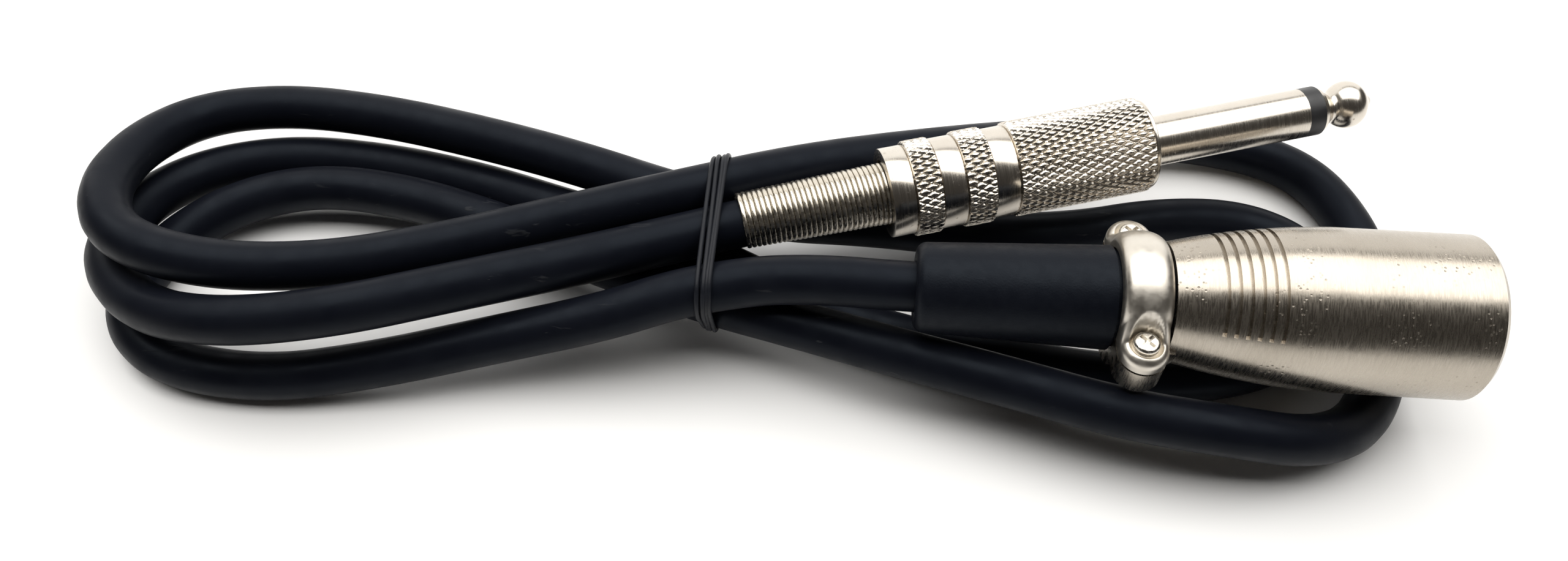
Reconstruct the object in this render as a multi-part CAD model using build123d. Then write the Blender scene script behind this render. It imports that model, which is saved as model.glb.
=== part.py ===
from build123d import *
import math
import os

# A one metre instrument cable, folded into a hank and tied. A three-contact plug is at one end of it
# and a 6.35 mm jack at the other. Millimetres, +Z up. The floor is z = 0 and the origin is the middle
# of the whole part's footprint. The hank's own places are given from its waist, where the elastic is.

# ---- driving dimensions -------------------------------------------------------------------------

WAIST = Vector(-4.0, -4.2, 0)       # the waist of the hank in the frame, on the floor

CABLE_R = 3.0                       # outer radius of the cable's jacket
CORE_R = 0.7                        # the insulated signal core, and the twisted screen beside it
GAP = 0.3                           # left between soft pieces and their neighbours
RUN = 0.05                          # radial clearance of a running fit

# the hank: two lobes of strands, three deep at the left and two at the right
HANK_HEIGHT = 17.6
WAIST_WIDTH = 21.0
WAIST_LIFT = 3.4                    # the strands stand this far off the floor at the waist
LEFT_LOBE = (-56.5, 1.4, 23.0)      # x, y and radius of the lobe's round end, from the waist
RIGHT_LOBE = (60.0, 4.2, 27.3)
# the open eye in each lobe: its narrow and its wide end, each x, y and radius
LEFT_EYE = ((-30, 0.5, 1.0), (-60.0, 0.5, 7.0))
RIGHT_EYE = ((24.0, 0.0, 1.0), (61.0, -1.5, 12.5))
WAIST_HEIGHTS = (4.0, 17.1)         # the bundle's underside and top under the elastic
WAIST_CORNER = 3.5

# the elastic
TIE_WIDTH = 2.2
TIE_THICK = 1.0

# the jack: its own frame has the shaft's shoulder at the origin and the tip along +X
JACK_PLACE = WAIST + Vector(53.6, 16.3, 15.9)
JACK_HEADING = 15.7                 # degrees from +X, seen from above
JACK_PITCH = 3.0                    # degrees that the tip is tipped up
SHAFT_R = 6.35 / 2
SHAFT_LENGTH = 21.2
RING_LENGTH = 2.1
TIP_END = 31.0
FLANGE_R, FLANGE_THICK = 4.8, 1.6   # the shoulder that shows in the barrel's mouth
BOSS_R, BOSS_END = 4.5, -9.0
ROD_R = 1.25
LINER_BORE_R = 2.05                 # outside of the insulating tube round the tip's rod
WASHER_R, TIP_LUG_R = 2.8, 2.6
BARREL_REAR = -34.0
BARREL_BORE_R = 5.2
BARREL_LIP = 1.6                    # thickness of the barrel's rear wall, which holds the spring
# the barrel's bands from the rear: length and radius
BARREL_BANDS = ((2.9, 5.65), (3.4, 6.05), (3.0, 5.75), (3.7, 6.1), (3.0, 5.7), (17.5, 6.05), (0.5, 5.7))
BARREL_TRAVEL = 1.2                 # how far the barrel and the spring can back off towards the elastic
SPRING_TAIL = -52.6
SPRING_TAIL_R, SPRING_HEAD_R = 3.55, 3.95
SPRING_WIRE = 0.4
SPRING_COLLAR_R = 4.9
SPRING_TURNS = 29

# the three-contact plug: its own frame has the shell's rear face at the origin and the mouth along +X
XLR_PLACE = WAIST + Vector(53.0, -8.4, 15.6)
SHELL_LENGTH = 34.5
SHELL_R = 9.5
SHELL_REAR_R = 6.8
SHELL_TAPER = 19.0                  # length of the swelling part behind the parallel nose
SOCKET_R, SOCKET_DEPTH = 8.1, 15.0
INSERT_STEP = 14.0                  # where the insert's front part starts
INSERT_REAR = 9.0
INSERT_REAR_R = 6.2
PIN_R, PIN_ROOT_R = 1.2, 1.0         # a contact's free part, and its root in the insert
PIN_REACH = SHELL_LENGTH - 1.2      # the contacts end this far inside the mouth
PIN_PLACES = ((-3.8, 1.3), (3.8, 1.3), (0.0, -4.0))
CUP_END = 5.6
JACKET_END = 1.2                    # the cable's jacket is cut off this far inside the shell
GRIP_FIRST, GRIP_PITCH, GRIP_COUNT = 5.1, 1.2, 6
GRIP_HALF_ANGLE = 62.0
BOOT_REAR, BOOT_REAR_R, BOOT_FRONT_R = -28.4, 5.25, 6.1
BOOT_NECK_R = 5.6                   # where the clamp squeezes the boot
CLAMP_X = -3.05                     # the clamp's middle
CLAMP_WIDTH = 5.5
CLAMP_HALF_SPAN = 10.6
CLAMP_SCREW_Y = 7.8
SADDLE_IN_R, SADDLE_OUT_R = 5.9, 8.0
EAR_THICK = 2.3
SEAT_Z = 1.7                        # height of the screw heads' seats over the split
LOWER_EAR = 3.2
SCREW_R, SCREW_HEAD_R, SCREW_HEAD_HEIGHT = 1.0, 1.5, 1.1

PARTS = {}                          # node name: finished shape


# ---- helpers ------------------------------------------------------------------------------------

def rod(start, end, radius):
    """A round bar between two points."""
    start, end = Vector(*start), Vector(*end)
    return extrude(Plane(start, z_dir=end - start) * Circle(radius), (end - start).length)


def along_x(x0, x1, radius, y=0.0, z=0.0):
    """A round bar along X."""
    return rod((x0, y, z), (x1, y, z), radius)


def upright(x, y, z0, z1, radius):
    """A round bar along Z."""
    return rod((x, y, z0), (x, y, z1), radius)


def block(x0, x1, y0, y1, z0, z1):
    return Pos((x0 + x1) / 2, (y0 + y1) / 2, (z0 + z1) / 2) * Box(x1 - x0, y1 - y0, z1 - z0)


def turned(*edges):
    """Revolves an outline of X and radius about the X axis."""
    return revolve(make_face(edges), Axis.X)


def profile(points):
    """A turned piece from its corners."""
    return turned(Polyline(*points, close=True))


def ring(x0, x1, outer, inner):
    return along_x(x0, x1, outer) - along_x(x0 - 1, x1 + 1, inner)


# ---- where the two plugs stand ------------------------------------------------------------------

JACK_TURN = Location((0, 0, 0), (0, 0, JACK_HEADING)) * Location((0, 0, 0), (0, -JACK_PITCH, 0))
JACK_AT = Location(JACK_PLACE) * JACK_TURN
XLR_AT = Location(XLR_PLACE)


def jack(name, shape):
    PARTS[name] = JACK_AT * shape


def xlr(name, shape):
    PARTS[name] = XLR_AT * shape


# ---- the jack -----------------------------------------------------------------------------------

def make_jack_sleeve():
    outside = profile(((BOSS_END, 0), (BOSS_END, BOSS_R), (-FLANGE_THICK, BOSS_R), (-FLANGE_THICK, FLANGE_R),
                       (0, FLANGE_R), (0, SHAFT_R), (SHAFT_LENGTH, SHAFT_R), (SHAFT_LENGTH, 0)))
    return outside - along_x(BOSS_END - 1, SHAFT_LENGTH + 1, LINER_BORE_R)


def make_jack_tip():
    """The rod, riveted over at the rear, and the tip's collar, neck, ball and blunt cone."""
    front = SHAFT_LENGTH + RING_LENGTH
    rivet = BOSS_END - 2.0
    neck_x, neck_r, ball_x, ball_r = front + 1.8, 1.95, front + 4.4, 3.05
    nose = [(TIP_END - 1 + math.cos(a), math.sin(a)) for a in (math.pi / 3, math.pi / 6, 0)]
    outline = [
        Polyline((rivet - 0.9, 0), (rivet - 0.9, 1.9), (rivet, 1.9), (rivet, ROD_R), (front, ROD_R),
                 (front, SHAFT_R - 0.1), (front + 0.6, SHAFT_R - 0.35), (neck_x - 0.3, neck_r)),
        ThreePointArc((neck_x - 0.3, neck_r), (neck_x + 0.1, neck_r - 0.1), (neck_x + 0.6, neck_r + 0.15)),
        ThreePointArc((neck_x + 0.6, neck_r + 0.15), (ball_x, ball_r), (ball_x + 1.5, 2.5)),
        Line((ball_x + 1.5, 2.5), nose[0]),
        ThreePointArc(*nose),
        Line((TIP_END, 0), (rivet - 0.9, 0)),
    ]
    return turned(*outline)


def make_ground_lug():
    """A washer with a strip that runs back to two fingers, closed round the jacket."""
    plate, strip_top, thick = BOSS_END - 0.5, -3.1, 0.5
    washer = ring(plate, BOSS_END, 4.2, LINER_BORE_R + 0.05)
    strip = block(-24.0, plate + 0.1, -2.0, 2.0, strip_top - thick, strip_top)
    fingers = ring(-28.0, -23.0, CABLE_R + RUN + thick, CABLE_R + RUN)
    fingers -= block(-29.0, -22.0, -1.6, 1.6, 0.0, 5.0)
    return washer + strip + fingers


def make_tip_lug():
    plate = BOSS_END - 1.5
    washer = ring(plate - 0.5, plate, TIP_LUG_R, ROD_R + 0.02)
    strip = block(plate - 4.5, plate - 0.1, -1.1, 1.1, 2.1, 2.5)
    return washer + strip


def make_jack_barrel():
    corners = [(BARREL_REAR, 0)]
    x = BARREL_REAR
    for length, radius in BARREL_BANDS:
        corners += [(x, radius), (x + length, radius)]
        x += length
    corners.append((x, 0))
    barrel = profile(corners)
    barrel -= along_x(BARREL_REAR - 1, 1, SPRING_HEAD_R + GAP)
    barrel -= along_x(BARREL_REAR + BARREL_LIP, BOSS_END - 0.2, BARREL_BORE_R)
    barrel -= along_x(BOSS_END - 0.3, 1, BOSS_R + RUN)
    barrel -= along_x(-FLANGE_THICK - RUN, 1, FLANGE_R + 0.07)
    return barrel


def make_jack_spring():
    """A close-wound spring as a sleeve with a rib for each turn, and a wide collar inside the barrel."""
    pitch = (BARREL_REAR - SPRING_TAIL) / SPRING_TURNS
    grow = (SPRING_HEAD_R - SPRING_TAIL_R) / SPRING_TURNS
    valley = SPRING_WIRE / 2
    edges = []
    for turn in range(SPRING_TURNS):
        x0, x1 = SPRING_TAIL + turn * pitch, SPRING_TAIL + (turn + 1) * pitch
        r0, r1 = SPRING_TAIL_R + turn * grow, SPRING_TAIL_R + (turn + 1) * grow
        crest = ((x0 + x1) / 2, (r0 + r1) / 2)
        edges.append(ThreePointArc((x0, r0 - valley), crest, (x1, r1 - valley)))
    collar = BARREL_REAR + BARREL_LIP + 0.1
    inner_head, inner_tail = SPRING_HEAD_R - SPRING_WIRE, SPRING_TAIL_R - SPRING_WIRE
    edges.append(Polyline((BARREL_REAR, SPRING_HEAD_R - valley), (collar, SPRING_HEAD_R - valley),
                          (collar, SPRING_COLLAR_R), (collar + 1.0, SPRING_COLLAR_R),
                          (collar + 1.0, inner_head), (BARREL_REAR, inner_head), (SPRING_TAIL, inner_tail),
                          (SPRING_TAIL, SPRING_TAIL_R - valley)))
    return turned(*edges)


def build_jack():
    front = SHAFT_LENGTH
    jack("jack_sleeve", make_jack_sleeve())
    jack("jack_insulating_ring", ring(front, front + RING_LENGTH, SHAFT_R, ROD_R))
    jack("jack_insulating_tube", ring(BOSS_END - 1.5, front, LINER_BORE_R, ROD_R))
    jack("jack_tip", make_jack_tip())
    jack("jack_ground_lug", make_ground_lug())
    jack("jack_washer", ring(BOSS_END - 1.5, BOSS_END - 0.5, WASHER_R, LINER_BORE_R + 0.05))
    jack("jack_tip_lug", make_tip_lug())
    jack("jack_barrel", make_jack_barrel())
    jack("jack_liner", ring(-31.0, -11.0, BARREL_BORE_R - GAP, 4.6))
    jack("jack_spring", make_jack_spring())
    core = rod((-22.0, 0, 0.8), (-14.6, 0, 3.5), CORE_R)
    screen = rod((-22.0, 0, -0.9), (-17.5, 0, -2.3), CORE_R)
    jack("jack_core_wire", core)
    jack("jack_screen_wire", screen)
    jack("jack_solder", Part() + [block(-15.0, -13.4, -1.0, 1.0, 2.5, 4.1) - core,
                                  block(-18.6, -16.6, -1.1, 1.1, -3.1, -1.7) - screen])


# ---- the three-contact plug ---------------------------------------------------------------------

def shell_radius(x):
    """Outer radius of the shell: an arc that swells to the parallel nose."""
    share = min(x / SHELL_TAPER, 1.0)
    return SHELL_REAR_R + (SHELL_R - SHELL_REAR_R) * math.sin(share * math.pi / 2)


def clamp_bar(outline):
    """Extrudes a YZ outline across the clamp's width and rounds its two ends, seen from above."""
    bar = Pos(CLAMP_X - CLAMP_WIDTH / 2, 0, 0) * extrude(Plane.YZ * outline, CLAMP_WIDTH)
    plan = extrude(Pos(CLAMP_X, 0, -12) * Rot(0, 0, 90) * SlotOverall(2 * CLAMP_HALF_SPAN, CLAMP_WIDTH), 24)
    return bar & plan


def make_shell():
    middle = shell_radius(SHELL_TAPER / 2)
    edge = 0.6
    outside = turned(
        Line((0, 0), (0, SHELL_REAR_R)),
        ThreePointArc((0, SHELL_REAR_R), (SHELL_TAPER / 2, middle), (SHELL_TAPER, SHELL_R)),
        Line((SHELL_TAPER, SHELL_R), (SHELL_LENGTH - edge, SHELL_R)),
        Polyline((SHELL_LENGTH - edge, SHELL_R), (SHELL_LENGTH, SHELL_R - edge), (SHELL_LENGTH, 0), (0, 0)),
    )
    hollow = along_x(-1, SHELL_LENGTH + 1, 5.2)
    hollow += along_x(CUP_END, SHELL_LENGTH, INSERT_REAR_R + RUN)
    hollow += along_x(INSERT_STEP, SHELL_LENGTH + 1, SOCKET_R)
    key = block(SHELL_LENGTH - SOCKET_DEPTH, SHELL_LENGTH - 3, -1.3, 1.3, -SOCKET_R - 0.3, -SOCKET_R + 0.8)
    shell = outside - hollow + key
    for i in range(GRIP_COUNT):
        x = GRIP_FIRST + i * GRIP_PITCH
        bottom = shell_radius(x) - 0.4
        above = block(x - 1, x + 1, -12, 12, bottom * math.cos(math.radians(GRIP_HALF_ANGLE)), 12)
        shell -= ring(x - 0.22, x + 0.22, 12, bottom) & above
    shell -= upright(INSERT_STEP + 2.8, 0, -SHELL_R - 1, -SOCKET_R + 0.5, 1.4)
    return shell + make_lower_saddle()


def make_lower_saddle():
    """The shell's own half of the clamp: a cradle under the boot with an ear and a screw hole each side."""
    cradle = Circle(SADDLE_OUT_R - 0.3) + Pos(0, -LOWER_EAR / 2) * Rectangle(2 * CLAMP_HALF_SPAN, LOWER_EAR)
    cradle = cradle & (Pos(0, -6) * Rectangle(30, 12))
    cradle -= Circle(BOOT_NECK_R + RUN)
    saddle = clamp_bar(cradle)
    for y in (-CLAMP_SCREW_Y, CLAMP_SCREW_Y):
        saddle -= upright(CLAMP_X, y, -12, 1, SCREW_R + RUN)
    web = ring(-0.6, 0.8, SADDLE_OUT_R - 0.6, BOOT_NECK_R + RUN) & block(-1, 1, -12, 12, -12, -0.1)
    return saddle + web


def make_upper_saddle():
    """The loose half of the clamp: an arch over the boot, with a sunk seat for a screw in each flank."""
    arch = Circle(SADDLE_OUT_R) + Pos(0, EAR_THICK / 2) * Rectangle(2 * CLAMP_HALF_SPAN, EAR_THICK)
    arch = arch & (Pos(0, 6 + GAP) * Rectangle(30, 12))
    arch -= Circle(SADDLE_IN_R)
    saddle = clamp_bar(arch)
    for y in (-CLAMP_SCREW_Y, CLAMP_SCREW_Y):
        saddle -= upright(CLAMP_X, y, -1, 12, SCREW_R + 2 * RUN)
        saddle -= upright(CLAMP_X, y, SEAT_Z, 12, SCREW_HEAD_R + 0.15)
    return saddle


def make_screw(y):
    """A clamp screw with a domed, cross-slotted head."""
    x, top = CLAMP_X, SEAT_Z + SCREW_HEAD_HEIGHT
    head = upright(x, y, SEAT_Z, top, SCREW_HEAD_R)
    head = fillet(head.edges().sort_by(Axis.Z)[-1], 0.5)
    screw = head + upright(x, y, -LOWER_EAR + 0.3, SEAT_Z, SCREW_R)
    for turn in (0, 90):
        screw -= Pos(x, y, top) * Rot(0, 0, 45 + turn) * Box(2.0, 0.45, 1.0)
    return screw


def make_boot():
    neck = CLAMP_X - CLAMP_WIDTH / 2 - 0.4
    outline = Polyline((BOOT_REAR, 0), (BOOT_REAR, BOOT_REAR_R), (neck, BOOT_FRONT_R), (neck, BOOT_NECK_R),
                       (-0.1, BOOT_NECK_R), (-0.1, 5.1), (0.8, 5.1), (0.8, 0), close=True)
    boot = turned(outline)
    rear = boot.faces().sort_by(Axis.X)[0].edges()
    boot = fillet(rear, 1.2)
    return boot - along_x(BOOT_REAR - 1, 2, CABLE_R + RUN)


def make_insert():
    front = SHELL_LENGTH - SOCKET_DEPTH
    insert = along_x(INSERT_STEP + 0.1, front, SOCKET_R - RUN)
    insert += along_x(INSERT_REAR, INSERT_STEP + 0.2, INSERT_REAR_R)
    for y, z in PIN_PLACES:
        insert -= along_x(INSERT_REAR - 1, front + 1, PIN_ROOT_R + 0.02, y, z)
    insert -= upright(INSERT_STEP + 2.8, 0, -9, -5.6, SCREW_R + RUN)
    key = block(front - 0.1, front + 0.1, -1.35, 1.35, -9, -SOCKET_R + 0.85)
    return insert - key


def make_contact(y, z):
    """A contact pin with a rounded end in front and a solder cup behind the insert."""
    pin = along_x(SHELL_LENGTH - SOCKET_DEPTH, PIN_REACH, PIN_R, y, z)
    pin = fillet(pin.edges().sort_by(Axis.X)[-1], 0.9)
    pin += along_x(INSERT_REAR - 0.2, SHELL_LENGTH - SOCKET_DEPTH + 0.1, PIN_ROOT_R, y, z)
    pin += along_x(CUP_END, INSERT_REAR - 0.1, 1.5, y, z)
    return pin - along_x(CUP_END - 1, CUP_END + 2.2, 0.95, y, z)


def make_insert_screw():
    x = INSERT_STEP + 2.8
    screw = upright(x, 0, -7.6, -5.8, SCREW_R)
    return screw - Pos(x, 0, -7.6) * Box(2.4, 0.4, 1.0)


def build_xlr():
    xlr("xlr_shell", make_shell())
    xlr("xlr_insert", make_insert())
    xlr("xlr_insert_screw", make_insert_screw())
    for number, place in enumerate(PIN_PLACES, start=1):
        xlr(f"xlr_contact_{number}", make_contact(*place))
    xlr("clamp_saddle", make_upper_saddle())
    xlr("clamp_screw_near", make_screw(-CLAMP_SCREW_Y))
    xlr("clamp_screw_far", make_screw(CLAMP_SCREW_Y))
    xlr("xlr_boot", make_boot())
    starts = ((-1.1, 0.9), (1.1, 0.9), (0.0, -1.2))
    wires = [rod((JACKET_END + 0.35, *s), (CUP_END + 0.2, *p), 0.6) for s, p in zip(starts, PIN_PLACES)]
    xlr("xlr_core_wire", wires[1])
    xlr("xlr_screen_wires", wires[0] + wires[2])
    xlr("xlr_solder", Part() + [along_x(CUP_END + 1.0, CUP_END + 2.15, 0.9, y, z) for y, z in PIN_PLACES])


# ---- the cable's tails --------------------------------------------------------------------------

TAIL_PLACES = ((5.5, -7.1, 13.2), (10.9, -7.4, 14.4), (16.2, -7.9, 15.25), (21.4, -8.4, 15.6),
               (26.5, -8.4, 15.6))
XLR_TAIL = [WAIST + Vector(*place) for place in TAIL_PLACES]
JACK_TAIL = (SPRING_TAIL - BARREL_TRAVEL - GAP, -44.0)      # along the jack's axis


def cord_radii(points):
    """The largest even arcs that the runs allow."""
    radii = []
    for before, at, after in zip(points, points[1:], points[2:]):
        half_turn = math.radians((at - before).get_angle(after - at)) / 2
        run = min((at - before).length, (after - at).length)
        radii.append(0.45 * run / math.tan(half_turn))
    return radii


def build_tails():
    radii = cord_radii(XLR_TAIL)
    print("cord radii:", [round(r, 1) for r in radii])
    path = FilletPolyline(*XLR_TAIL, radius=radii)
    tube = sweep(Plane(path @ 0, z_dir=path % 0) * Circle(CABLE_R), path)
    fill = tube.volume / (math.pi * CABLE_R**2 * path.length)
    print("tube volume over section times length:", round(fill, 4))
    PARTS["cable_tail_xlr"] = tube
    PARTS["cable_in_boot"] = rod(XLR_TAIL[-1], XLR_PLACE + Vector(JACKET_END, 0, 0), CABLE_R)
    jack("cable_tail_jack", along_x(*JACK_TAIL, CABLE_R))
    jack("cable_in_barrel", along_x(JACK_TAIL[1], -22.5, CABLE_R))


# ---- the hank and its tie -----------------------------------------------------------------------

def teardrop(small, large):
    """The outline round two circles, seen from above: each is x, y and radius."""
    (x1, y1, r1), (x2, y2, r2) = small, large
    heading = math.atan2(y2 - y1, x2 - x1)
    lean = math.acos((r1 - r2) / math.hypot(x2 - x1, y2 - y1))
    near_left, near_end, near_right = [(x1 + r1 * math.cos(a), y1 + r1 * math.sin(a))
                                       for a in (heading + lean, heading + math.pi, heading - lean)]
    far_left, far_end, far_right = [(x2 + r2 * math.cos(a), y2 + r2 * math.sin(a))
                                    for a in (heading + lean, heading, heading - lean)]
    return make_face([Line(near_left, far_left), ThreePointArc(far_left, far_end, far_right),
                      Line(far_right, near_right), ThreePointArc(near_right, near_end, near_left)])


def gutter(start, end, radius):
    """The room taken by a round piece that lies in the top of the hank, and everything over it."""
    start, end = Vector(*start), Vector(*end)
    across = Vector(0, 0, 1).cross(end - start)
    section = Circle(radius) + Pos(0, 20) * Rectangle(2 * radius, 40)
    return extrude(Plane(start, x_dir=across, z_dir=end - start) * section, (end - start).length + 0.4)


def make_hank():
    plan = teardrop((0, 0, WAIST_WIDTH / 2 + 0.2), LEFT_LOBE) + teardrop((0, 0, WAIST_WIDTH / 2), RIGHT_LOBE)
    plan -= teardrop(*LEFT_EYE) + teardrop(*RIGHT_EYE)
    side = Polyline((-85, 0), (-22, 0), (-11, WAIST_LIFT), (5, WAIST_LIFT), (13, 0), (90, 0),
                    (90, 6.2), (72, 9.5), (50, 12), (4, HANK_HEIGHT), (-69, HANK_HEIGHT + 0.5),
                    (-85, HANK_HEIGHT - 1.5), close=True)
    hank = extrude(plan, HANK_HEIGHT + 2) & (Pos(0, 40, 0) * extrude(Plane.XZ * make_face(side), 80))
    front = Polyline((-25, 6.5), (-19.5, 6.5), (-13, HANK_HEIGHT + 3), (-25, HANK_HEIGHT + 3), close=True)
    back = Polyline((27, 11), (23, 11), (10, HANK_HEIGHT + 3), (27, HANK_HEIGHT + 3), close=True)
    for corner in (front, back):
        hank -= Pos(-90, 0, 0) * extrude(Plane.YZ * make_face(corner), 70)
    between_plugs = Polyline((6.5, -5), (5, -2), (32, 7), (32, -5), close=True)
    hank -= Pos(0, 0, 12) * extrude(make_face(between_plugs), 20)
    hank = Location(WAIST) * hank
    hank -= around_waist(TIE_WIDTH + 0.3, 30) - around_waist(TIE_WIDTH + 1, 0)

    first, second = XLR_TAIL[:2]
    hank -= gutter(first, first + (second - first) * 2, CABLE_R + GAP)
    for x0, x1, radius in ((BOOT_REAR - 9, 0, BOOT_FRONT_R),
                           (CLAMP_X - CLAMP_WIDTH / 2 - GAP, 2, SADDLE_OUT_R),
                           (0, SHELL_LENGTH + 2, SHELL_R)):
        hank -= XLR_AT * gutter((x0, 0, 0), (x1, 0, 0), radius + GAP)
    ears = CLAMP_WIDTH / 2 + GAP
    hank -= XLR_AT * block(CLAMP_X - ears, CLAMP_X + ears, -CLAMP_HALF_SPAN - GAP, CLAMP_HALF_SPAN + GAP,
                           -LOWER_EAR - GAP, 20)
    for x0, x1, radius in ((JACK_TAIL[0], BARREL_REAR, SPRING_HEAD_R),
                           (BARREL_REAR - BARREL_TRAVEL - GAP, 0.5, 6.1), (0, TIP_END + 1, SHAFT_R)):
        hank -= JACK_AT * gutter((x0, 0, 0), (x1, 0, 0), radius + GAP)
    return hank


def around_waist(width, grow):
    """A rounded bar through the waist along X, as thick as the strands' bundle and a margin."""
    low, high = WAIST_HEIGHTS
    section = RectangleRounded(WAIST_WIDTH + 2 * grow, high - low + 2 * grow, WAIST_CORNER + grow)
    middle = WAIST + Vector(0, 0, (low + high) / 2)
    return Location(middle) * Pos(-width / 2, 0, 0) * extrude(Plane.YZ * section, width)


def make_tie():
    return around_waist(TIE_WIDTH, RUN + TIE_THICK) - around_waist(TIE_WIDTH + 2, RUN)


build_jack()
build_xlr()
build_tails()
PARTS["cable_hank"] = make_hank()
PARTS["elastic_tie"] = make_tie()

whole = Compound([solid for shape in PARTS.values() for solid in shape.solids()]).bounding_box()
print("middle of the footprint:", (whole.min + whole.max) / 2, "size:", whole.size)
os.makedirs("parts", exist_ok=True)
for node, shape in PARTS.items():
    export_step(shape, f"parts/{node}.step")
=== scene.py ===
import math

import bmesh
import bpy
from mathutils import Euler, Matrix, Vector


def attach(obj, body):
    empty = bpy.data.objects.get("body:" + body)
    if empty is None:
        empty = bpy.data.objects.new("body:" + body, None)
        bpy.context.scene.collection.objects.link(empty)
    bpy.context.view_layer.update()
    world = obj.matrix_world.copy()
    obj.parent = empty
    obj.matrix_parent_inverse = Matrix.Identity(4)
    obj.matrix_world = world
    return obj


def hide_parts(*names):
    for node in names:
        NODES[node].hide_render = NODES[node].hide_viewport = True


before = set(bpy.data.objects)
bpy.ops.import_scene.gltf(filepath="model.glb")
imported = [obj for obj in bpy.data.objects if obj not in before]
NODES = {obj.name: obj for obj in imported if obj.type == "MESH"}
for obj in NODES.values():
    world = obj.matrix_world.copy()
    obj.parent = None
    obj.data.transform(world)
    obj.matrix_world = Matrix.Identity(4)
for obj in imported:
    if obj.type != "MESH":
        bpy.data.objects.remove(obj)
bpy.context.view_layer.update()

# A one metre instrument cable, folded into a hank and tied. Lengths below are in millimetres, as in the
# part's source, and mm() turns them into the metres of the scene. Colours are linear.
MM = 0.001

# ---- where things are ---------------------------------------------------------------------------

# the camera: in front of the hank and above it, turned a little to the left
CAMERA_PLACE = (11.09, -94.55, 124.4)
CAMERA_TILT, CAMERA_TURN = math.radians(37), math.radians(4)
CAMERA_LENS, CAMERA_SENSOR = 26.72, 36

WAIST = Vector((-4.0, -4.2, 0.0))           # the waist of the hank, on the floor
CABLE_R = 3.0

JACK_PLACE = WAIST + Vector((53.6, 16.3, 15.9))     # the jack's shoulder; its own +X runs to the tip
JACK_HEADING = math.radians(15.7)
JACK_PITCH = math.radians(3)
XLR_PLACE = WAIST + Vector((53.0, -8.4, 15.6))      # the plug's rear face; its own +X runs to the mouth

# The cable's route from the jack to the plug, from the waist on the floor.
ROUTE = (
    # out of the spring guard and along the front of the upper left loop
    (11.3, 4.4, 13.6), (0.6, 1.0, 12.9), (-14.5, -5.2, 13.3), (-29.5, -10.7, 13.7), (-43.5, -15.3, 13.3),
    (-57.5, -17.0, 12.2), (-69.0, -13.9, 10.0),
    # round the second left bend and back under the others
    (-76.8, -6.0, 9.0), (-77.4, 4.0, 7.3), (-73.0, 13.2, 4.6), (-62.0, 18.0, 3.3), (-48.0, 17.4, 3.1),
    (-34.0, 14.0, 3.9), (-20.0, 8.6, 5.2), (-6.0, 3.4, 6.6), (5.0, -0.7, 5.2),
    # the inner right loop, on the floor
    (14.0, -4.3, 3.1), (27.0, -7.8, 3.0), (41.0, -10.4, 3.0), (54.0, -11.4, 3.0), (65.5, -9.6, 3.0),
    (74.8, -4.6, 3.0), (79.6, 2.8, 3.0), (77.6, 10.6, 3.0), (69.8, 15.2, 3.0), (58.5, 14.8, 3.0),
    (46.5, 11.4, 3.0), (33.0, 9.9, 3.4), (19.0, 9.6, 5.0), (6.5, 8.0, 6.8),
    # the far side of the left lobe and round its top bend
    (-6.0, 9.2, 9.2), (-20.0, 13.6, 9.8), (-34.0, 17.6, 9.5), (-48.0, 21.3, 8.7), (-62.0, 22.8, 8.5),
    (-73.0, 19.8, 9.2), (-77.5, 11.0, 12.0), (-77.2, 0.5, 14.7), (-71.8, -7.8, 15.6),
    # over the top of the bundle and out to the far right
    (-60.0, -10.4, 14.6), (-47.0, -8.7, 13.3), (-33.0, -4.6, 13.2), (-18.0, 0.9, 13.6), (-4.0, 5.8, 14.0),
    (9.0, 11.6, 13.0), (23.0, 17.8, 10.3), (40.0, 24.2, 7.2), (56.0, 29.0, 4.2),
    # round the outer right bend, under the plug, and back over the inner loop
    (69.5, 29.4, 3.0), (80.0, 25.4, 3.0), (84.8, 15.5, 3.0), (85.4, 3.5, 3.0), (83.4, -8.0, 3.0),
    (78.6, -16.4, 3.3), (70.8, -20.8, 6.4), (61.0, -21.3, 8.8), (49.0, -19.8, 8.8), (36.0, -16.2, 8.6),
    (23.0, -12.6, 8.0), (11.0, -9.0, 7.4),
    # the innermost strand of the left lobe and round the lowest bend
    (-1.0, -5.6, 6.8), (-14.0, -1.0, 6.7), (-28.0, 4.8, 5.9), (-42.0, 9.8, 5.3), (-56.0, 11.4, 5.1),
    (-67.5, 7.6, 4.2), (-74.8, -1.0, 3.2), (-75.0, -10.5, 3.0),
    # the near side, which climbs to the plug
    (-67.5, -17.2, 3.0), (-54.0, -18.8, 3.0), (-40.0, -16.5, 4.4), (-26.0, -13.6, 6.9), (-12.5, -11.4, 9.9),
    (-3.0, -8.9, 12.5), (5.5, -7.1, 13.2), (10.9, -7.4, 14.4), (16.2, -7.9, 15.25), (21.4, -8.4, 15.6),
    (26.5, -8.4, 15.6),
)

# the barrel, along the jack's axis; its bands run from the rear: length, radius and whether it is knurled
BARREL_REAR = -34.0
BARREL_BANDS = ((2.9, 5.65, False), (3.4, 6.05, True), (3.0, 5.75, False), (3.7, 6.1, True),
                (3.0, 5.7, False), (17.5, 6.05, True), (0.5, 5.7, False))
BARREL_EDGE = 0.14                          # the rounding of a band's edges
BARREL_CORNER = 0.3                         # a rounded edge's middle point, as a share of the rounding
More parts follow.
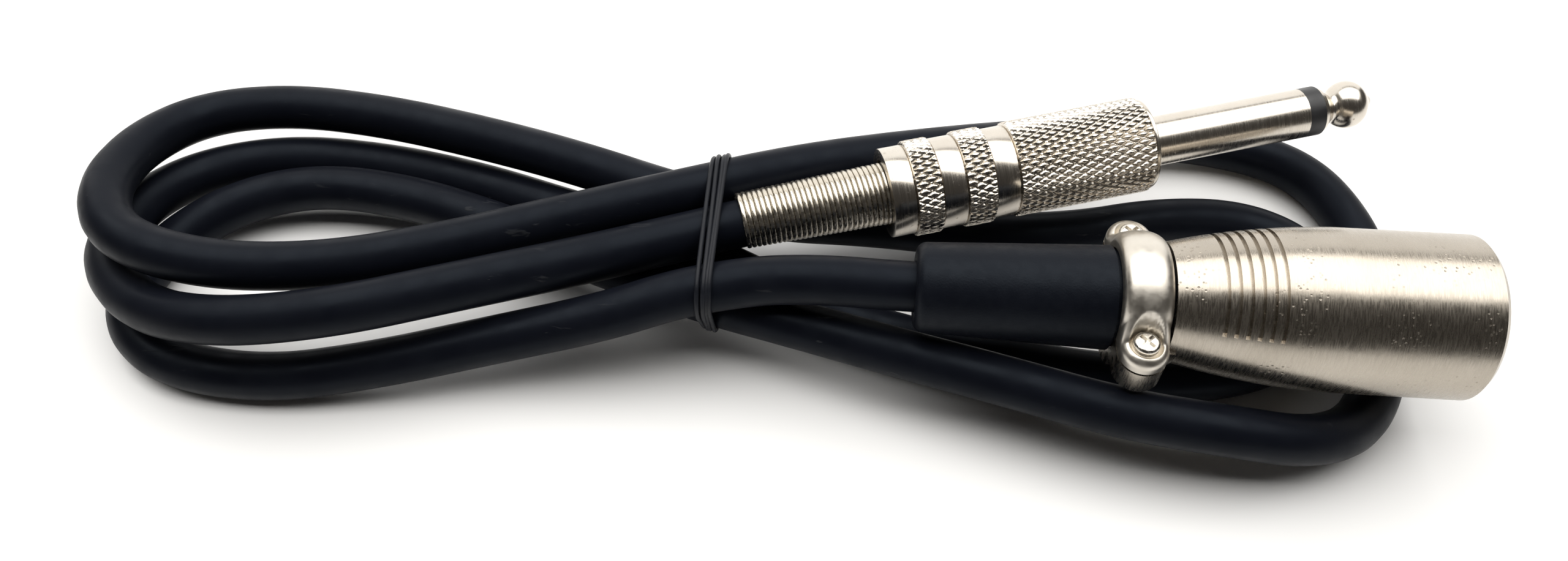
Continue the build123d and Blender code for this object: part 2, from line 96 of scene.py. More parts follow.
# the inside, as X and radius, from the front lip's face back to the rear
BARREL_BORES = ((0.0, 4.87), (-1.65, 4.87), (-1.65, 4.55), (-9.2, 4.55), (-9.2, 5.2), (-32.4, 5.2),
                (-32.4, 4.25), (-34.0, 4.25))
KNURL_COUNT = 38                            # diamonds round the barrel
KNURL_LENGTH = 2.0                          # one diamond, along the axis
KNURL_DEPTH = 0.32
KNURL_FLAT = 1.35                           # over 1, the diamonds' tops are flat
KNURL_STEPS = 10                            # mesh steps across one diamond
KNURL_END_DROP, KNURL_END_SHARE = 0.06, 0.5     # a knurled band's end rows: lower, with shallower grooves

# the spring guard, along the jack's axis; its last turn opens out inside the barrel's rear wall
SPRING_TAIL, SPRING_HEAD, SPRING_END = -52.6, -33.2, -31.6
SPRING_TAIL_R, SPRING_HEAD_R, SPRING_END_R = 3.55, 3.95, 4.9
SPRING_FLARE_START = BARREL_REAR + 1.7
SPRING_FLARE_RATE = 1.6                     # over 1, the turn is fully open before the guard's end
SPRING_PITCH = 18.6 / 29                    # 29 turns show behind the barrel
SPRING_WIRE_LONG, SPRING_WIRE_THICK = 0.62, 0.42    # the wire's section, along the axis and out from it
SPRING_STEPS, SPRING_SIDES = 40, 12         # mesh steps in a turn and round the wire

# the loose half of the cable clamp, from the plug's place
CLAMP_X = -3.05
CLAMP_HALF_WIDTH = 2.75
CLAMP_HALF_SPAN = 10.6
CLAMP_SPLIT = 0.3                           # the underside of its ears, above the plug's axis
CLAMP_OUT_R, CLAMP_IN_R = 8.0, 5.9
CLAMP_EAR_TOP = 2.6
CLAMP_SCREW_Y = 7.8
CLAMP_SEAT_Z = 1.7
CLAMP_SEAT_R, CLAMP_HOLE_R = 1.65, 1.1
CLAMP_SEAT_IN, CLAMP_SEAT_OUT = 0.12, 0.42  # a seat's wall slopes from inside its radius to outside it
CLAMP_BLEND = 0.9                           # the rounding where the arch meets the ears
CLAMP_RIM = 0.30                            # the height left at the rim, as a share
CLAMP_ROUNDNESS = 2.3                       # 2 is a round section, and more is squarer
CLAMP_THINNEST = 0.1                        # the least wall between underside and top
CLAMP_AROUND, CLAMP_RINGS = 240, 20         # mesh steps round the rim and from the middle to it
HOLE_MIDDLE, HOLE_DEPTH = 1.0, 8            # a screw hole's cutter: the height of its middle, and its length

# the elastic: thin strands side by side; each has its place along X, its lift and the phase of its wander
ELASTIC_R = 0.3
ELASTIC_STRANDS = ((-0.68, 0.00, 0.0), (-0.14, 0.12, 1.9), (0.36, 0.02, 3.4), (0.86, 0.06, 5.1))
ELASTIC_WANDER = 0.16                       # how far a strand strays along X
ELASTIC_STEPS = 160                         # points along one strand
SECTION_DOTS = 48                           # points round one cable's section

# edges sharper than these, in degrees, are drawn hard
BARREL_SHARP, CASTING_SHARP, SPRING_SHARP = 35, 50, 60

NOISE_RANGE = (0.3, 0.7)                    # nearly all of a noise texture's values lie in it


def mm(x, y, z):
    return Vector((x, y, z)) * MM


def jack_matrix():
    turn = Euler((0, -JACK_PITCH, JACK_HEADING), "XYZ").to_matrix().to_4x4()
    return Matrix.Translation(JACK_PLACE * MM) @ turn


def xlr_matrix():
    return Matrix.Translation(XLR_PLACE * MM)


# ---- camera, floor and light --------------------------------------------------------------------

def make_camera():
    data = bpy.data.cameras.new("camera")
    data.sensor_width = CAMERA_SENSOR
    data.lens = CAMERA_LENS
    data.clip_start = 0.005
    camera = bpy.data.objects.new("camera", data)
    camera.location = mm(*CAMERA_PLACE)
    camera.rotation_euler = (CAMERA_TILT, 0, CAMERA_TURN)
    bpy.context.scene.collection.objects.link(camera)
    bpy.context.scene.camera = camera


def area_light(name, place, size, power, colour):
    """A soft rectangular lamp aimed at the origin; place and size are in metres."""
    data = bpy.data.lights.new(name, "AREA")
    data.shape = "RECTANGLE"
    data.size, data.size_y = size
    data.energy = power
    data.color = colour
    lamp = bpy.data.objects.new(name, data)
    lamp.location = place
    lamp.rotation_euler = (Vector() - Vector(place)).to_track_quat("-Z", "Y").to_euler()
    bpy.context.scene.collection.objects.link(lamp)


def make_lights():
    area_light("overhead", place=(0.0, 0.14, 0.60), size=(1.30, 0.66), power=9.0, colour=(1.0, 0.985, 0.955))
    area_light("back", place=(-0.08, 0.72, 0.26), size=(1.90, 0.56), power=4.6, colour=(1.0, 0.99, 0.97))
    world = bpy.data.worlds.new("studio")
    world.use_nodes = True
    background = world.node_tree.nodes["Background"]
    background.inputs["Color"].default_value = (1.0, 0.93, 0.86, 1)
    background.inputs["Strength"].default_value = 0.045
    bpy.context.scene.world = world
    bpy.context.scene.view_settings.view_transform = "Standard"


def make_floor():
    half = 2.5
    mesh = bpy.data.meshes.new("floor")
    corners = [(-half, -half, 0), (half, -half, 0), (half, half, 0), (-half, half, 0)]
    mesh.from_pydata(corners, [], [(0, 1, 2, 3)])
    floor = bpy.data.objects.new("floor", mesh)
    bpy.context.scene.collection.objects.link(floor)
    paper = Surface("floor_paper")
    cloud = paper.noise(60, detail=2)
    paper.colour(paper.mix(cloud, (0.92, 0.92, 0.92), (0.95, 0.95, 0.95)))
    paper.roughness(cloud, 0.6, 0.7)
    mesh.materials.append(paper.material)


# ---- materials ----------------------------------------------------------------------------------

class Surface:
    """A material whose patterns are laid out in the piece's own millimetres."""

    def __init__(self, name, along_jack=False):
        """The pattern's X is the piece's own, or the jack's for the nodes that lie in the shared frame."""
        self.material = bpy.data.materials.new(name)
        self.material.use_nodes = True
        self.tree = self.material.node_tree
        self.shader = self.tree.nodes["Principled BSDF"]
        place = self.tree.nodes.new("ShaderNodeTexCoord").outputs["Object"]
        grid = self.tree.nodes.new("ShaderNodeMapping")
        grid.vector_type = "TEXTURE"
        if along_jack:
            grid.inputs["Location"].default_value = JACK_PLACE * MM
            grid.inputs["Rotation"].default_value = (0, -JACK_PITCH, JACK_HEADING)
        grid.inputs["Scale"].default_value = (MM, MM, MM)
        self.link(place, grid.inputs["Vector"])
        self.place = grid.outputs["Vector"]

    def link(self, start, end):
        self.tree.links.new(start, end)

    def constant(self, **values):
        """Sets the shader's own sockets; an underscore in a name is a space."""
        for name, value in values.items():
            self.shader.inputs[name.replace("_", " ")].default_value = value

    def stretched(self, size):
        """The place, divided by a pattern's size in millimetres along X, Y and Z."""
        node = self.tree.nodes.new("ShaderNodeMapping")
        node.inputs["Scale"].default_value = [1 / s for s in size]
        self.link(self.place, node.inputs["Vector"])
        return node.outputs["Vector"]

    def noise(self, size, detail=2.0, distortion=0.0):
        """Noise, mostly in NOISE_RANGE; size is in millimetres, one number or one for each axis."""
        size = size if isinstance(size, tuple) else (size, size, size)
        node = self.tree.nodes.new("ShaderNodeTexNoise")
        node.inputs["Scale"].default_value = 1
        node.inputs["Detail"].default_value = detail
        node.inputs["Distortion"].default_value = distortion
        self.link(self.stretched(size), node.inputs["Vector"])
        return node.outputs["Fac"]

    def cells(self, size):
        """The distance from scattered points, in cells of a size in millimetres."""
        node = self.tree.nodes.new("ShaderNodeTexVoronoi")
        node.inputs["Scale"].default_value = 1
        self.link(self.stretched((size, size, size)), node.inputs["Vector"])
        return node.outputs["Distance"]

    def remap(self, value, start, end, low=0.0, high=1.0):
        node = self.tree.nodes.new("ShaderNodeMapRange")
        node.interpolation_type = "SMOOTHSTEP"
        for name, number in (("From Min", start), ("From Max", end), ("To Min", low), ("To Max", high)):
            node.inputs[name].default_value = number
        self.link(value, node.inputs["Value"])
        return node.outputs["Result"]

    def math(self, kind, a, b):
        node = self.tree.nodes.new("ShaderNodeMath")
        node.operation = kind
        for socket, value in zip(node.inputs, (a, b)):
            if isinstance(value, (int, float)):
                socket.default_value = value
            else:
                self.link(value, socket)
        return node.outputs["Value"]

    def mix(self, factor, first, second):
        """A colour between two: each is three numbers or another colour's output."""
        node = self.tree.nodes.new("ShaderNodeMix")
        node.data_type = "RGBA"
        self.link(factor, node.inputs[0])
        for socket, value in ((node.inputs[6], first), (node.inputs[7], second)):
            if isinstance(value, tuple):
                socket.default_value = (*value, 1)
            else:
                self.link(value, socket)
        return node.outputs[2]

    def spread(self, noise, low, high):
        """A noise, stretched to run from low to high."""
        return self.remap(noise, *NOISE_RANGE, low, high)

    def colour(self, output):
        self.link(output, self.shader.inputs["Base Color"])

    def rough(self, output):
        self.link(output, self.shader.inputs["Roughness"])

    def roughness(self, noise, low, high):
        self.rough(self.spread(noise, low, high))

    def bump(self, *layers):
        """Layers of relief: each is a height output and its depth in millimetres."""
        normal = None
        for height, depth in layers:
            node = self.tree.nodes.new("ShaderNodeBump")
            node.inputs["Strength"].default_value = 1
            node.inputs["Distance"].default_value = depth * MM
            self.link(height, node.inputs["Height"])
            if normal is not None:
                self.link(normal, node.inputs["Normal"])
            normal = node.outputs["Normal"]
        self.link(normal, self.shader.inputs["Normal"])


def jacket_surface():
    """Black PVC with a soft sheen, faint waves from the cores inside, and a few light scuffs."""
    s = Surface("cable_jacket")
    cloud = s.noise(9, detail=3)
    scuff = s.math("MULTIPLY", s.remap(s.noise((5.0, 0.9, 0.9), detail=4, distortion=0.6), 0.66, 0.74),
                   s.remap(s.noise(14), 0.5, 0.62))
    plain = s.mix(cloud, (0.0032, 0.0038, 0.0066), (0.0062, 0.0072, 0.0112))
    s.colour(s.mix(scuff, plain, (0.022, 0.023, 0.026)))
    s.rough(s.math("ADD", s.spread(s.noise(3.5, detail=4), 0.36, 0.5), s.math("MULTIPLY", scuff, 0.15)))
    s.constant(Specular_IOR_Level=0.095, Specular_Tint=(0.72, 0.85, 1.0, 1))
    s.bump((s.noise(7, detail=1), 0.12), (s.noise(0.35, detail=3), 0.006), (scuff, 0.02))
    return s.material


def elastic_surface():
    """Dark rubber thread with a dull gloss and a lengthwise grain."""
    s = Surface("elastic_rubber")
    cloud = s.noise(1.6, detail=3)
    s.colour(s.mix(cloud, (0.006, 0.007, 0.010), (0.014, 0.016, 0.022)))
    s.roughness(cloud, 0.34, 0.52)
    s.constant(Specular_IOR_Level=0.2)
    s.bump((s.noise((0.12, 1.5, 1.5), detail=2), 0.02), (s.noise(0.25), 0.01))
    return s.material


def boot_surface():
    """Matte moulded rubber with a fine spark-eroded texture."""
    s = Surface("boot_rubber")
    cloud = s.noise(6, detail=3)
    s.colour(s.mix(cloud, (0.0030, 0.0037, 0.0064), (0.0058, 0.0068, 0.0105)))
    s.roughness(s.noise(1.2, detail=4), 0.38, 0.50)
    s.constant(Specular_IOR_Level=0.12, Specular_Tint=(0.75, 0.87, 1.0, 1))
    s.bump((s.noise(0.22, detail=3), 0.022), (s.noise(4), 0.05))
    return s.material


def satin_nickel_surface():
    """Tumbled nickel plate: short marks across the shell, fine pits in patches, and yellowed places."""
    s = Surface("satin_nickel")
    grain = s.noise((0.11, 1.3, 1.3), detail=4)
    fine = s.noise((0.07, 0.5, 0.5), detail=2)
    patch = s.remap(s.noise(5, detail=3), 0.50, 0.66)
    pit = s.math("MULTIPLY", s.remap(s.cells(0.6), 0.30, 0.12), patch)
    tone = s.mix(s.noise(7, detail=4), (0.37, 0.33, 0.275), (0.50, 0.455, 0.395))
    s.colour(s.mix(s.math("MULTIPLY", pit, 0.45), tone, (0.20, 0.17, 0.14)))
    s.rough(s.math("ADD", s.spread(grain, 0.22, 0.33), s.math("MULTIPLY", pit, 0.15)))
    s.constant(Metallic=1.0)
    sunk = s.math("MULTIPLY", pit, -1.0)
    s.bump((grain, 0.010), (fine, 0.005), (s.noise(2.4, detail=2), 0.02), (sunk, 0.02))
    return s.material


def cast_nickel_surface():
    """Nickel plate over a smooth casting, brighter than the shell, with a faint ripple."""
    s = Surface("cast_nickel")
    cloud = s.noise(2.2, detail=3)
    s.colour(s.mix(cloud, (0.60, 0.555, 0.485), (0.74, 0.70, 0.635)))
    s.roughness(s.noise(0.9, detail=4), 0.30, 0.40)
    s.constant(Metallic=1.0)
    s.bump((s.noise(2.2, detail=1), 0.015), (s.noise(0.3, detail=2), 0.002))
    return s.material


def bright_nickel_surface(name, along_jack=False):
    """Polished nickel plate with hairline turning marks round the axis and a few dull specks."""
    s = Surface(name, along_jack)
    turning = s.noise((0.05, 6.0, 6.0), detail=3)
    speck = s.remap(s.noise(0.7, detail=4), 0.66, 0.74)
    tone = s.mix(s.noise(4, detail=3), (0.58, 0.525, 0.45), (0.71, 0.665, 0.60))
    s.colour(s.mix(s.math("MULTIPLY", speck, 0.5), tone, (0.42, 0.37, 0.31)))
    s.rough(s.math("ADD", s.spread(turning, 0.18, 0.28), s.math("MULTIPLY", speck, 0.2)))
    s.constant(Metallic=1.0)
    s.bump((turning, 0.0013), (s.noise(2.4, detail=2), 0.004))
    return s.material


def spring_surface():
    """Nickelled spring wire, drawn along its length, a little dull in places."""
    s = Surface("spring_wire")
    cloud = s.noise(1.5, detail=3)
    s.colour(s.mix(cloud, (0.55, 0.50, 0.42), (0.73, 0.68, 0.59)))
    s.roughness(s.noise(0.6, detail=3), 0.2, 0.34)
    s.constant(Metallic=1.0)
    s.bump((s.noise((0.06, 1.2, 1.2), detail=2), 0.003), (s.noise(0.4), 0.004))
    return s.material


def screw_surface():
    """Bright plated screw steel with worn edges and small dents."""
    s = Surface("screw_steel")
    cloud = s.noise(0.8, detail=4)
    s.colour(s.mix(cloud, (0.60, 0.56, 0.50), (0.80, 0.77, 0.71)))
    s.roughness(cloud, 0.16, 0.34)
    s.constant(Metallic=1.0)
    s.bump((s.noise(0.35, detail=2), 0.02))
    return s.material


def silver_surface():
    """Silver plated contacts with a light tarnish and turning marks."""
    s = Surface("silver_plate")
    s.colour(s.mix(s.remap(s.noise(2.2, detail=4), 0.35, 0.7), (0.86, 0.845, 0.80), (0.66, 0.60, 0.50)))
    turning = s.noise((0.06, 3, 3), detail=2)
    s.roughness(turning, 0.14, 0.26)
    s.constant(Metallic=1.0)
    s.bump((turning, 0.003))
    return s.material


def brass_surface():
    """Stamped brass with a rolled grain and darker stains."""
    s = Surface("lug_brass")
    s.colour(s.mix(s.noise(1.8, detail=4), (0.74, 0.53, 0.24), (0.52, 0.34, 0.14)))
    grain = s.noise((2.0, 0.08, 0.08), detail=2)
    s.roughness(grain, 0.26, 0.42)
    s.constant(Metallic=1.0)
    s.bump((grain, 0.005))
    return s.material


def plastic_surface(name, dark, light, low, high):
    """Moulded plastic: two close tones, an uneven gloss and a fine orange peel."""
    s = Surface(name)
    cloud = s.noise(2.5, detail=3)
    s.colour(s.mix(cloud, dark, light))
    s.roughness(cloud, low, high)
    s.bump((s.noise(0.3, detail=2), 0.01))
    return s.material


def copper_surface():
    """Twisted bare copper: fine slanting strands, browned in places."""
    s = Surface("bare_copper")
    s.colour(s.mix(s.noise(0.9, detail=3), (0.78, 0.40, 0.25), (0.50, 0.22, 0.12)))
    strand = s.noise((0.6, 0.12, 0.12), detail=1)
    s.roughness(strand, 0.28, 0.42)
    s.constant(Metallic=1.0)
    s.bump((strand, 0.05))
    return s.material


def solder_surface():
    """A frozen drop of solder: dull grey with a crystalline ripple."""
    s = Surface("solder_tin")
    cloud = s.noise(0.8, detail=4)
    s.colour(s.mix(cloud, (0.46, 0.46, 0.47), (0.72, 0.72, 0.73)))
    s.roughness(cloud, 0.24, 0.46)
    s.constant(Metallic=1.0)
    s.bump((s.noise(0.45, detail=3), 0.05))
    return s.material


# ---- mesh helpers -------------------------------------------------------------------------------

def new_piece(name, data, material, matrix=None):
    """Makes an object of finished mesh or curve data, in place, with its material."""
    piece = bpy.data.objects.new(name, data)
    bpy.context.scene.collection.objects.link(piece)
    if matrix is not None:
        piece.matrix_world = matrix
    data.materials.append(material)
    return piece


def lathe(name, rows, count):
    """A closed mesh turned about X. A row is its X and its radius at each angle, in millimetres."""
    points, faces = [], []
    for x, radius in rows:
        for i in range(count):
            angle = math.tau * i / count
            r = radius(angle)
            points.append(mm(x, r * math.cos(angle), r * math.sin(angle)))
    for a in range(len(rows)):
        b = (a + 1) % len(rows)
        for i in range(count):
            j = (i + 1) % count
            faces.append((a * count + i, b * count + i, b * count + j, a * count + j))
    mesh = bpy.data.meshes.new(name)
    mesh.from_pydata(points, [], faces)
    tidy_normals(mesh, BARREL_SHARP)
    return mesh


def tidy_normals(mesh, sharp):
    """Faces outwards, smooth shading, and hard edges over an angle in degrees."""
    work = bmesh.new()
    work.from_mesh(mesh)
    bmesh.ops.recalc_face_normals(work, faces=work.faces)
    for face in work.faces:
        face.smooth = True
    for edge in work.edges:
        edge.smooth = len(edge.link_faces) != 2 or edge.calc_face_angle(0) < math.radians(sharp)
    work.to_mesh(mesh)
    work.free()


def ring_of_wire(name, points, radius):
    """A closed ring of round wire through points close together, in metres."""
    curve = bpy.data.curves.new(name, "CURVE")
    curve.dimensions = "3D"
    curve.bevel_depth = radius
    curve.bevel_resolution = 4
    spline = curve.splines.new("POLY")
    spline.points.add(len(points) - 1)
    for knot, place in zip(spline.points, points):
        knot.co = (*place, 1)
    spline.use_cyclic_u = True
    spline.use_smooth = True
    return curve


# ---- the cable ----------------------------------------------------------------------------------

def route_curve(name, radius):
    """One smooth NURBS line with the route's places as its control points."""
    curve = bpy.data.curves.new(name, "CURVE")
    curve.dimensions = "3D"
    curve.resolution_u = 12
    curve.bevel_depth = radius
    curve.bevel_resolution = 8
    curve.use_fill_caps = radius > 0
    spline = curve.splines.new("NURBS")
    spline.points.add(len(ROUTE) - 1)
    for knot, place in zip(spline.points, ROUTE):
        knot.co = (*((WAIST + Vector(place)) * MM), 1)
    spline.order_u = 3
    spline.use_endpoint_u = True
    spline.use_smooth = True
    return curve


def make_cable():
    cable = new_piece("cable", route_curve("cable", CABLE_R * MM), jacket_surface())
    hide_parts("cable_hank", "cable_tail_xlr", "cable_tail_jack")
    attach(cable, "cable_and_plugs")


def cable_line():
    """Points along the cable's own line, in metres."""
    line = bpy.data.objects.new("cable_line", route_curve("cable_line", 0))
    mesh = bpy.data.meshes.new_from_object(line)
    points = [v.co.copy() for v in mesh.vertices]
    bpy.data.objects.remove(line)
    bpy.data.meshes.remove(mesh)
    return points


# ---- the elastic --------------------------------------------------------------------------------

def outline_round(points):
    """The convex outline round flat points."""
    points = sorted(points)
    halves = []
    for run in (points, points[::-1]):
        half = []
        for p in run:
            while len(half) > 1 and ((half[-1][0] - half[-2][0]) * (p[1] - half[-2][1])
                                     - (half[-1][1] - half[-2][1]) * (p[0] - half[-2][0])) <= 0:
                half.pop()
            half.append(p)
        halves += half[:-1]
    return halves


def evenly(points, count):
    """A closed flat outline, taken at even steps."""
    ends = points[1:] + points[:1]
    lengths = [math.dist(a, b) for a, b in zip(points, ends)]
    step = sum(lengths) / count
    made, gone, i = [], 0.0, 0
    for k in range(count):
        while gone + lengths[i] < k * step:
            gone += lengths[i]
            i += 1
        share = (k * step - gone) / lengths[i]
        made.append(tuple(a + (b - a) * share for a, b in zip(points[i], ends[i])))
    return made


def bundle_outline(line, middle, lift):
    """The outline round the strands in a plane square to X: Y and Z from the middle, in metres."""
    dots = []
    for a, b in zip(line, line[1:]):
        before, after = a.x - middle.x, b.x - middle.x
        if before * after > 0:
            continue
        place = a.lerp(b, before / (before - after)) - middle
        heading = (b - a).normalized()
        lean = Vector((heading.y, heading.z))
        lean = lean.normalized() if lean.length > 1e-6 else Vector((1, 0))
        thin = CABLE_R * MM + lift
        wide = CABLE_R * MM / abs(heading.x) + lift
        for k in range(SECTION_DOTS):
            angle = math.tau * k / SECTION_DOTS
            c, s = math.cos(angle) * wide, math.sin(angle) * thin
            dots.append((place.y + c * lean.x - s * lean.y, place.z + c * lean.y + s * lean.x))
    return evenly(outline_round(dots), ELASTIC_STEPS)


def make_elastic():
    """Strands of rubber thread, pulled tight round the bundle."""
    line = cable_line()
    rubber = elastic_surface()
    for number, (offset, lift, phase) in enumerate(ELASTIC_STRANDS, start=1):
        middle = (WAIST + Vector((offset, 0, 0))) * MM
        points = []
        for k, (side, height) in enumerate(bundle_outline(line, middle, (ELASTIC_R + lift) * MM)):
            wander = ELASTIC_WANDER * math.sin(math.tau * k / ELASTIC_STEPS + phase) * MM
            points.append(middle + Vector((wander, side, height)))
        name = f"elastic_strand_{number}"
        strand = new_piece(name, ring_of_wire(name, points, ELASTIC_R * MM), rubber)
        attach(strand, "cable_and_plugs")
    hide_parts("elastic_tie")


# ---- the jack's outer pieces --------------------------------------------------------------------

def make_spring():
    """The close-wound guard: turns that widen a little to the front, and a flared last turn in the barrel."""
    count = int((SPRING_END - SPRING_TAIL) / SPRING_PITCH * SPRING_STEPS) + 1
    points = []
    for k in range(count):
        x = SPRING_TAIL + SPRING_WIRE_LONG / 2 + SPRING_PITCH * k / SPRING_STEPS
        share = min((x - SPRING_TAIL) / (SPRING_HEAD - SPRING_TAIL), 1)
        radius = SPRING_TAIL_R + (SPRING_HEAD_R - SPRING_TAIL_R) * share - SPRING_WIRE_THICK / 2
        if x > SPRING_FLARE_START:
            flare = min((x - SPRING_HEAD) / (SPRING_END - SPRING_HEAD) * SPRING_FLARE_RATE, 1)
            radius += (SPRING_END_R - SPRING_HEAD_R) * flare
        turn = math.tau * k / SPRING_STEPS
        for i in range(SPRING_SIDES):
            angle = math.tau * i / SPRING_SIDES
            out = radius + SPRING_WIRE_THICK / 2 * math.cos(angle)
            along = x + SPRING_WIRE_LONG / 2 * math.sin(angle)
            points.append(mm(along, out * math.cos(turn), out * math.sin(turn)))
    last = (count - 1) * SPRING_SIDES
    faces = [tuple(range(SPRING_SIDES)), tuple(range(last, last + SPRING_SIDES))]
    for here in range(0, last, SPRING_SIDES):
        there = here + SPRING_SIDES
        for i in range(SPRING_SIDES):
            j = (i + 1) % SPRING_SIDES
            faces.append((here + i, here + j, there + j, there + i))
    mesh = bpy.data.meshes.new("spring_coils")
    mesh.from_pydata(points, [], faces)
    tidy_normals(mesh, SPRING_SHARP)
    spring = new_piece("spring_coils", mesh, spring_surface(), jack_matrix())
    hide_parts("jack_spring")
    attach(spring, "spring_guard")


def knurl(x, angle):
    """The height of the diamond knurl, from 0 in a groove to 1 on a diamond's flat top."""
    turn = KNURL_COUNT * angle / math.tau
    first = abs(math.sin(math.pi * (turn + x / KNURL_LENGTH)))
    second = abs(math.sin(math.pi * (turn - x / KNURL_LENGTH)))
    return min(1.0, KNURL_FLAT * min(first, second))


def make_barrel():
    """The barrel: smooth bands and knurled bands in turn, a thin front lip, and the stepped bore."""
    rows = []

    def plain(x, radius):
        rows.append((x, lambda angle, r=radius: r))

    def knurled(x, radius, depth):
        rows.append((x, lambda angle, r=radius, d=depth, at=x: r - d * (1 - knurl(at, angle))))

    x = BARREL_REAR
    for length, radius, is_knurled in BARREL_BANDS:
        foot = radius - BARREL_EDGE - (KNURL_DEPTH if is_knurled else 0)
        plain(x, foot)
        if is_knurled:
            face = length - 2 * BARREL_EDGE
            count = int(face / (KNURL_LENGTH / KNURL_STEPS))
            for k in range(count + 1):
                at_end = k in (0, count)
                knurled(x + BARREL_EDGE + face * k / count, radius - (KNURL_END_DROP if at_end else 0),
                        KNURL_DEPTH * (KNURL_END_SHARE if at_end else 1))
        else:
            edge = min(BARREL_EDGE, length / 3)
            corner_x, corner_r = edge * BARREL_CORNER, radius - BARREL_EDGE * BARREL_CORNER
            plain(x + corner_x, corner_r)
            plain(x + edge, radius)
            plain(x + length - edge, radius)
            plain(x + length - corner_x, corner_r)
        x += length
        plain(x, foot)
    for place, radius in BARREL_BORES:
        plain(place, radius)
    mesh = lathe("barrel", rows, KNURL_COUNT * KNURL_STEPS)
    nickel = bright_nickel_surface("barrel_nickel")
    barrel = new_piece("knurled_barrel", mesh, nickel, jack_matrix())
    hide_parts("jack_barrel")
    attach(barrel, "barrel")


# ---- the plug's clamp ---------------------------------------------------------------------------

def smooth_step(start, end, value):
    share = min(max((value - start) / (end - start), 0), 1)
    return share * share * (3 - 2 * share)


def saddle_heights(x, y, share):
    """Bottom and top of the clamp's loose half; share is 0 on its middle line and 1 at its rim."""
    arch = math.sqrt(max(CLAMP_OUT_R**2 - y * y, 0))
    gap = max(CLAMP_BLEND - abs(arch - CLAMP_EAR_TOP), 0) / CLAMP_BLEND
    crown = max(arch, CLAMP_EAR_TOP) + gap * gap * CLAMP_BLEND / 4
    bottom = max(math.sqrt(max(CLAMP_IN_R**2 - y * y, 0)), CLAMP_SPLIT)
    round_off = CLAMP_RIM + (1 - CLAMP_RIM) * (1 - share**CLAMP_ROUNDNESS) ** (1 / CLAMP_ROUNDNESS)
    top = bottom + (crown - bottom) * round_off
    for side in (-CLAMP_SCREW_Y, CLAMP_SCREW_Y):
        reach = math.hypot(x, y - side) - CLAMP_SEAT_R
        depth = 1 - smooth_step(-CLAMP_SEAT_IN, CLAMP_SEAT_OUT, reach)
        top += (min(CLAMP_SEAT_Z, top) - top) * depth
    return bottom, max(top, bottom + CLAMP_THINNEST)


def clamp_outline():
    """The clamp's long round-ended outline: a direction out from its middle line, and a place along that."""
    straight = CLAMP_HALF_SPAN - CLAMP_HALF_WIDTH
    arc = math.pi * CLAMP_HALF_WIDTH
    total = 4 * straight + 2 * arc
    outline = []
    for i in range(CLAMP_AROUND):
        s = total * i / CLAMP_AROUND
        if s < 2 * straight:
            outline.append(((1.0, 0.0), -straight + s))
        elif s < 2 * straight + arc:
            a = (s - 2 * straight) / CLAMP_HALF_WIDTH
            outline.append(((math.cos(a), math.sin(a)), straight))
        elif s < 4 * straight + arc:
            outline.append(((-1.0, 0.0), straight - (s - 2 * straight - arc)))
        else:
            a = math.pi + (s - 4 * straight - arc) / CLAMP_HALF_WIDTH
            outline.append(((math.cos(a), math.sin(a)), -straight))
    return outline


def make_saddle():
    """The clamp's loose half: a rounded cast bar, arched over the boot, with a sunk seat for each screw."""
    outline = clamp_outline()
    work = bmesh.new()
    tops, bottoms = [], []
    for ring in range(CLAMP_RINGS + 1):
        share = math.sin(math.pi / 2 * ring / CLAMP_RINGS)
        top_row, bottom_row = [], []
        for (dx, dy), y0 in outline:
            x, y = share * CLAMP_HALF_WIDTH * dx, y0 + share * CLAMP_HALF_WIDTH * dy
            bottom, top = saddle_heights(x, y, share)
            top_row.append(work.verts.new(mm(CLAMP_X + x, y, top)))
            bottom_row.append(work.verts.new(mm(CLAMP_X + x, y, bottom)))
        tops.append(top_row)
        bottoms.append(bottom_row)
    for rows, flip in ((tops, False), (bottoms, True)):
        for inner, outer in zip(rows, rows[1:]):
            for i in range(CLAMP_AROUND):
                j = (i + 1) % CLAMP_AROUND
                corners = [inner[i], outer[i], outer[j], inner[j]]
                work.faces.new(corners[::-1] if flip else corners)
    for i in range(CLAMP_AROUND):
        j = (i + 1) % CLAMP_AROUND
        work.faces.new([tops[-1][i], bottoms[-1][i], bottoms[-1][j], tops[-1][j]])
    bmesh.ops.remove_doubles(work, verts=work.verts, dist=1e-6)
    mesh = bpy.data.meshes.new("clamp_top")
    work.to_mesh(mesh)
    work.free()
    tidy_normals(mesh, CASTING_SHARP)
    saddle = new_piece("clamp_top", mesh, cast_nickel_surface(), xlr_matrix())
    drill(saddle)
    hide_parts("clamp_saddle")
    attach(saddle, "saddle")


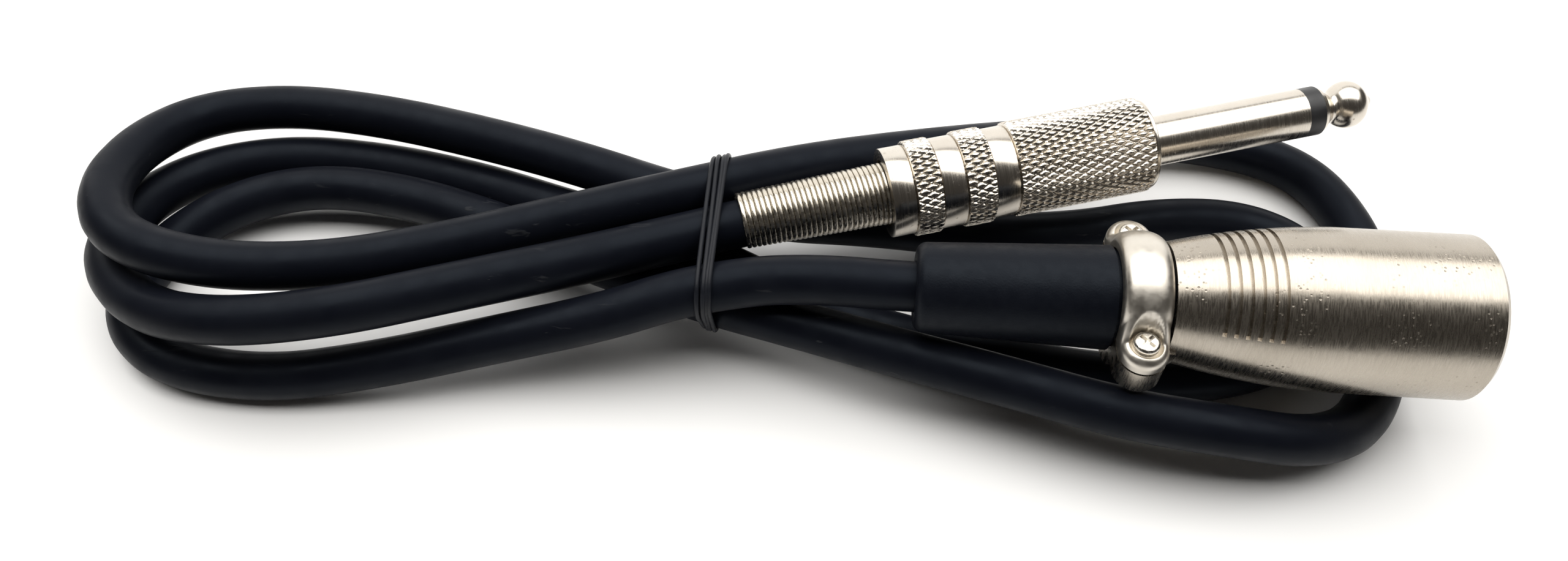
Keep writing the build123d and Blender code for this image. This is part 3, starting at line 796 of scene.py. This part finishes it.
def drill(saddle):
    """Cuts the two screw holes through the clamp's loose half."""
    holes = bmesh.new()
    for side in (-CLAMP_SCREW_Y, CLAMP_SCREW_Y):
        place = Matrix.Translation(mm(CLAMP_X, side, HOLE_MIDDLE))
        bmesh.ops.create_cone(holes, cap_ends=True, segments=48, radius1=CLAMP_HOLE_R * MM,
                              radius2=CLAMP_HOLE_R * MM, depth=HOLE_DEPTH * MM, matrix=place)
    mesh = bpy.data.meshes.new("holes")
    holes.to_mesh(mesh)
    holes.free()
    cutter = bpy.data.objects.new("holes", mesh)
    cutter.matrix_world = xlr_matrix()
    bpy.context.scene.collection.objects.link(cutter)
    cut = saddle.modifiers.new("holes", "BOOLEAN")
    cut.operation = "DIFFERENCE"
    cut.object = cutter
    bpy.context.view_layer.update()
    shaped = bpy.data.meshes.new_from_object(saddle.evaluated_get(bpy.context.evaluated_depsgraph_get()))
    saddle.modifiers.clear()
    saddle.data = shaped
    tidy_normals(shaped, CASTING_SHARP)
    bpy.data.objects.remove(cutter)


# ---- materials of the carried-over nodes --------------------------------------------------------

def dress_nodes():
    """Gives each CAD node its finished material."""
    nickel = bright_nickel_surface("jack_nickel", along_jack=True)
    black = plastic_surface("black_insulator", (0.010, 0.010, 0.011), (0.022, 0.022, 0.024), 0.30, 0.48)
    white = plastic_surface("liner_plastic", (0.70, 0.70, 0.67), (0.82, 0.82, 0.80), 0.32, 0.46)
    sheath = plastic_surface("core_sheath", (0.62, 0.58, 0.48), (0.76, 0.73, 0.66), 0.36, 0.50)
    finishes = (
        (nickel, ("jack_sleeve", "jack_tip")),
        (black, ("jack_insulating_ring", "jack_insulating_tube", "jack_washer", "xlr_insert")),
        (white, ("jack_liner",)),
        (sheath, ("jack_core_wire", "xlr_core_wire")),
        (brass_surface(), ("jack_ground_lug", "jack_tip_lug")),
        (copper_surface(), ("jack_screen_wire", "xlr_screen_wires")),
        (solder_surface(), ("jack_solder", "xlr_solder")),
        (silver_surface(), ("xlr_contact_1", "xlr_contact_2", "xlr_contact_3")),
        (screw_surface(), ("xlr_insert_screw", "clamp_screw_near", "clamp_screw_far")),
        (satin_nickel_surface(), ("xlr_shell",)),
        (boot_surface(), ("xlr_boot",)),
        (bpy.data.materials["cable_jacket"], ("cable_in_boot", "cable_in_barrel")),
    )
    for finish, names in finishes:
        for name in names:
            data = NODES[name].data
            if not data.materials:
                data.materials.append(finish)
            for i in range(len(data.materials)):
                data.materials[i] = finish


make_camera()
make_lights()
make_floor()
make_cable()
make_elastic()
make_spring()
make_barrel()
make_saddle()
dress_nodes()

bpy.context.view_layer.update()
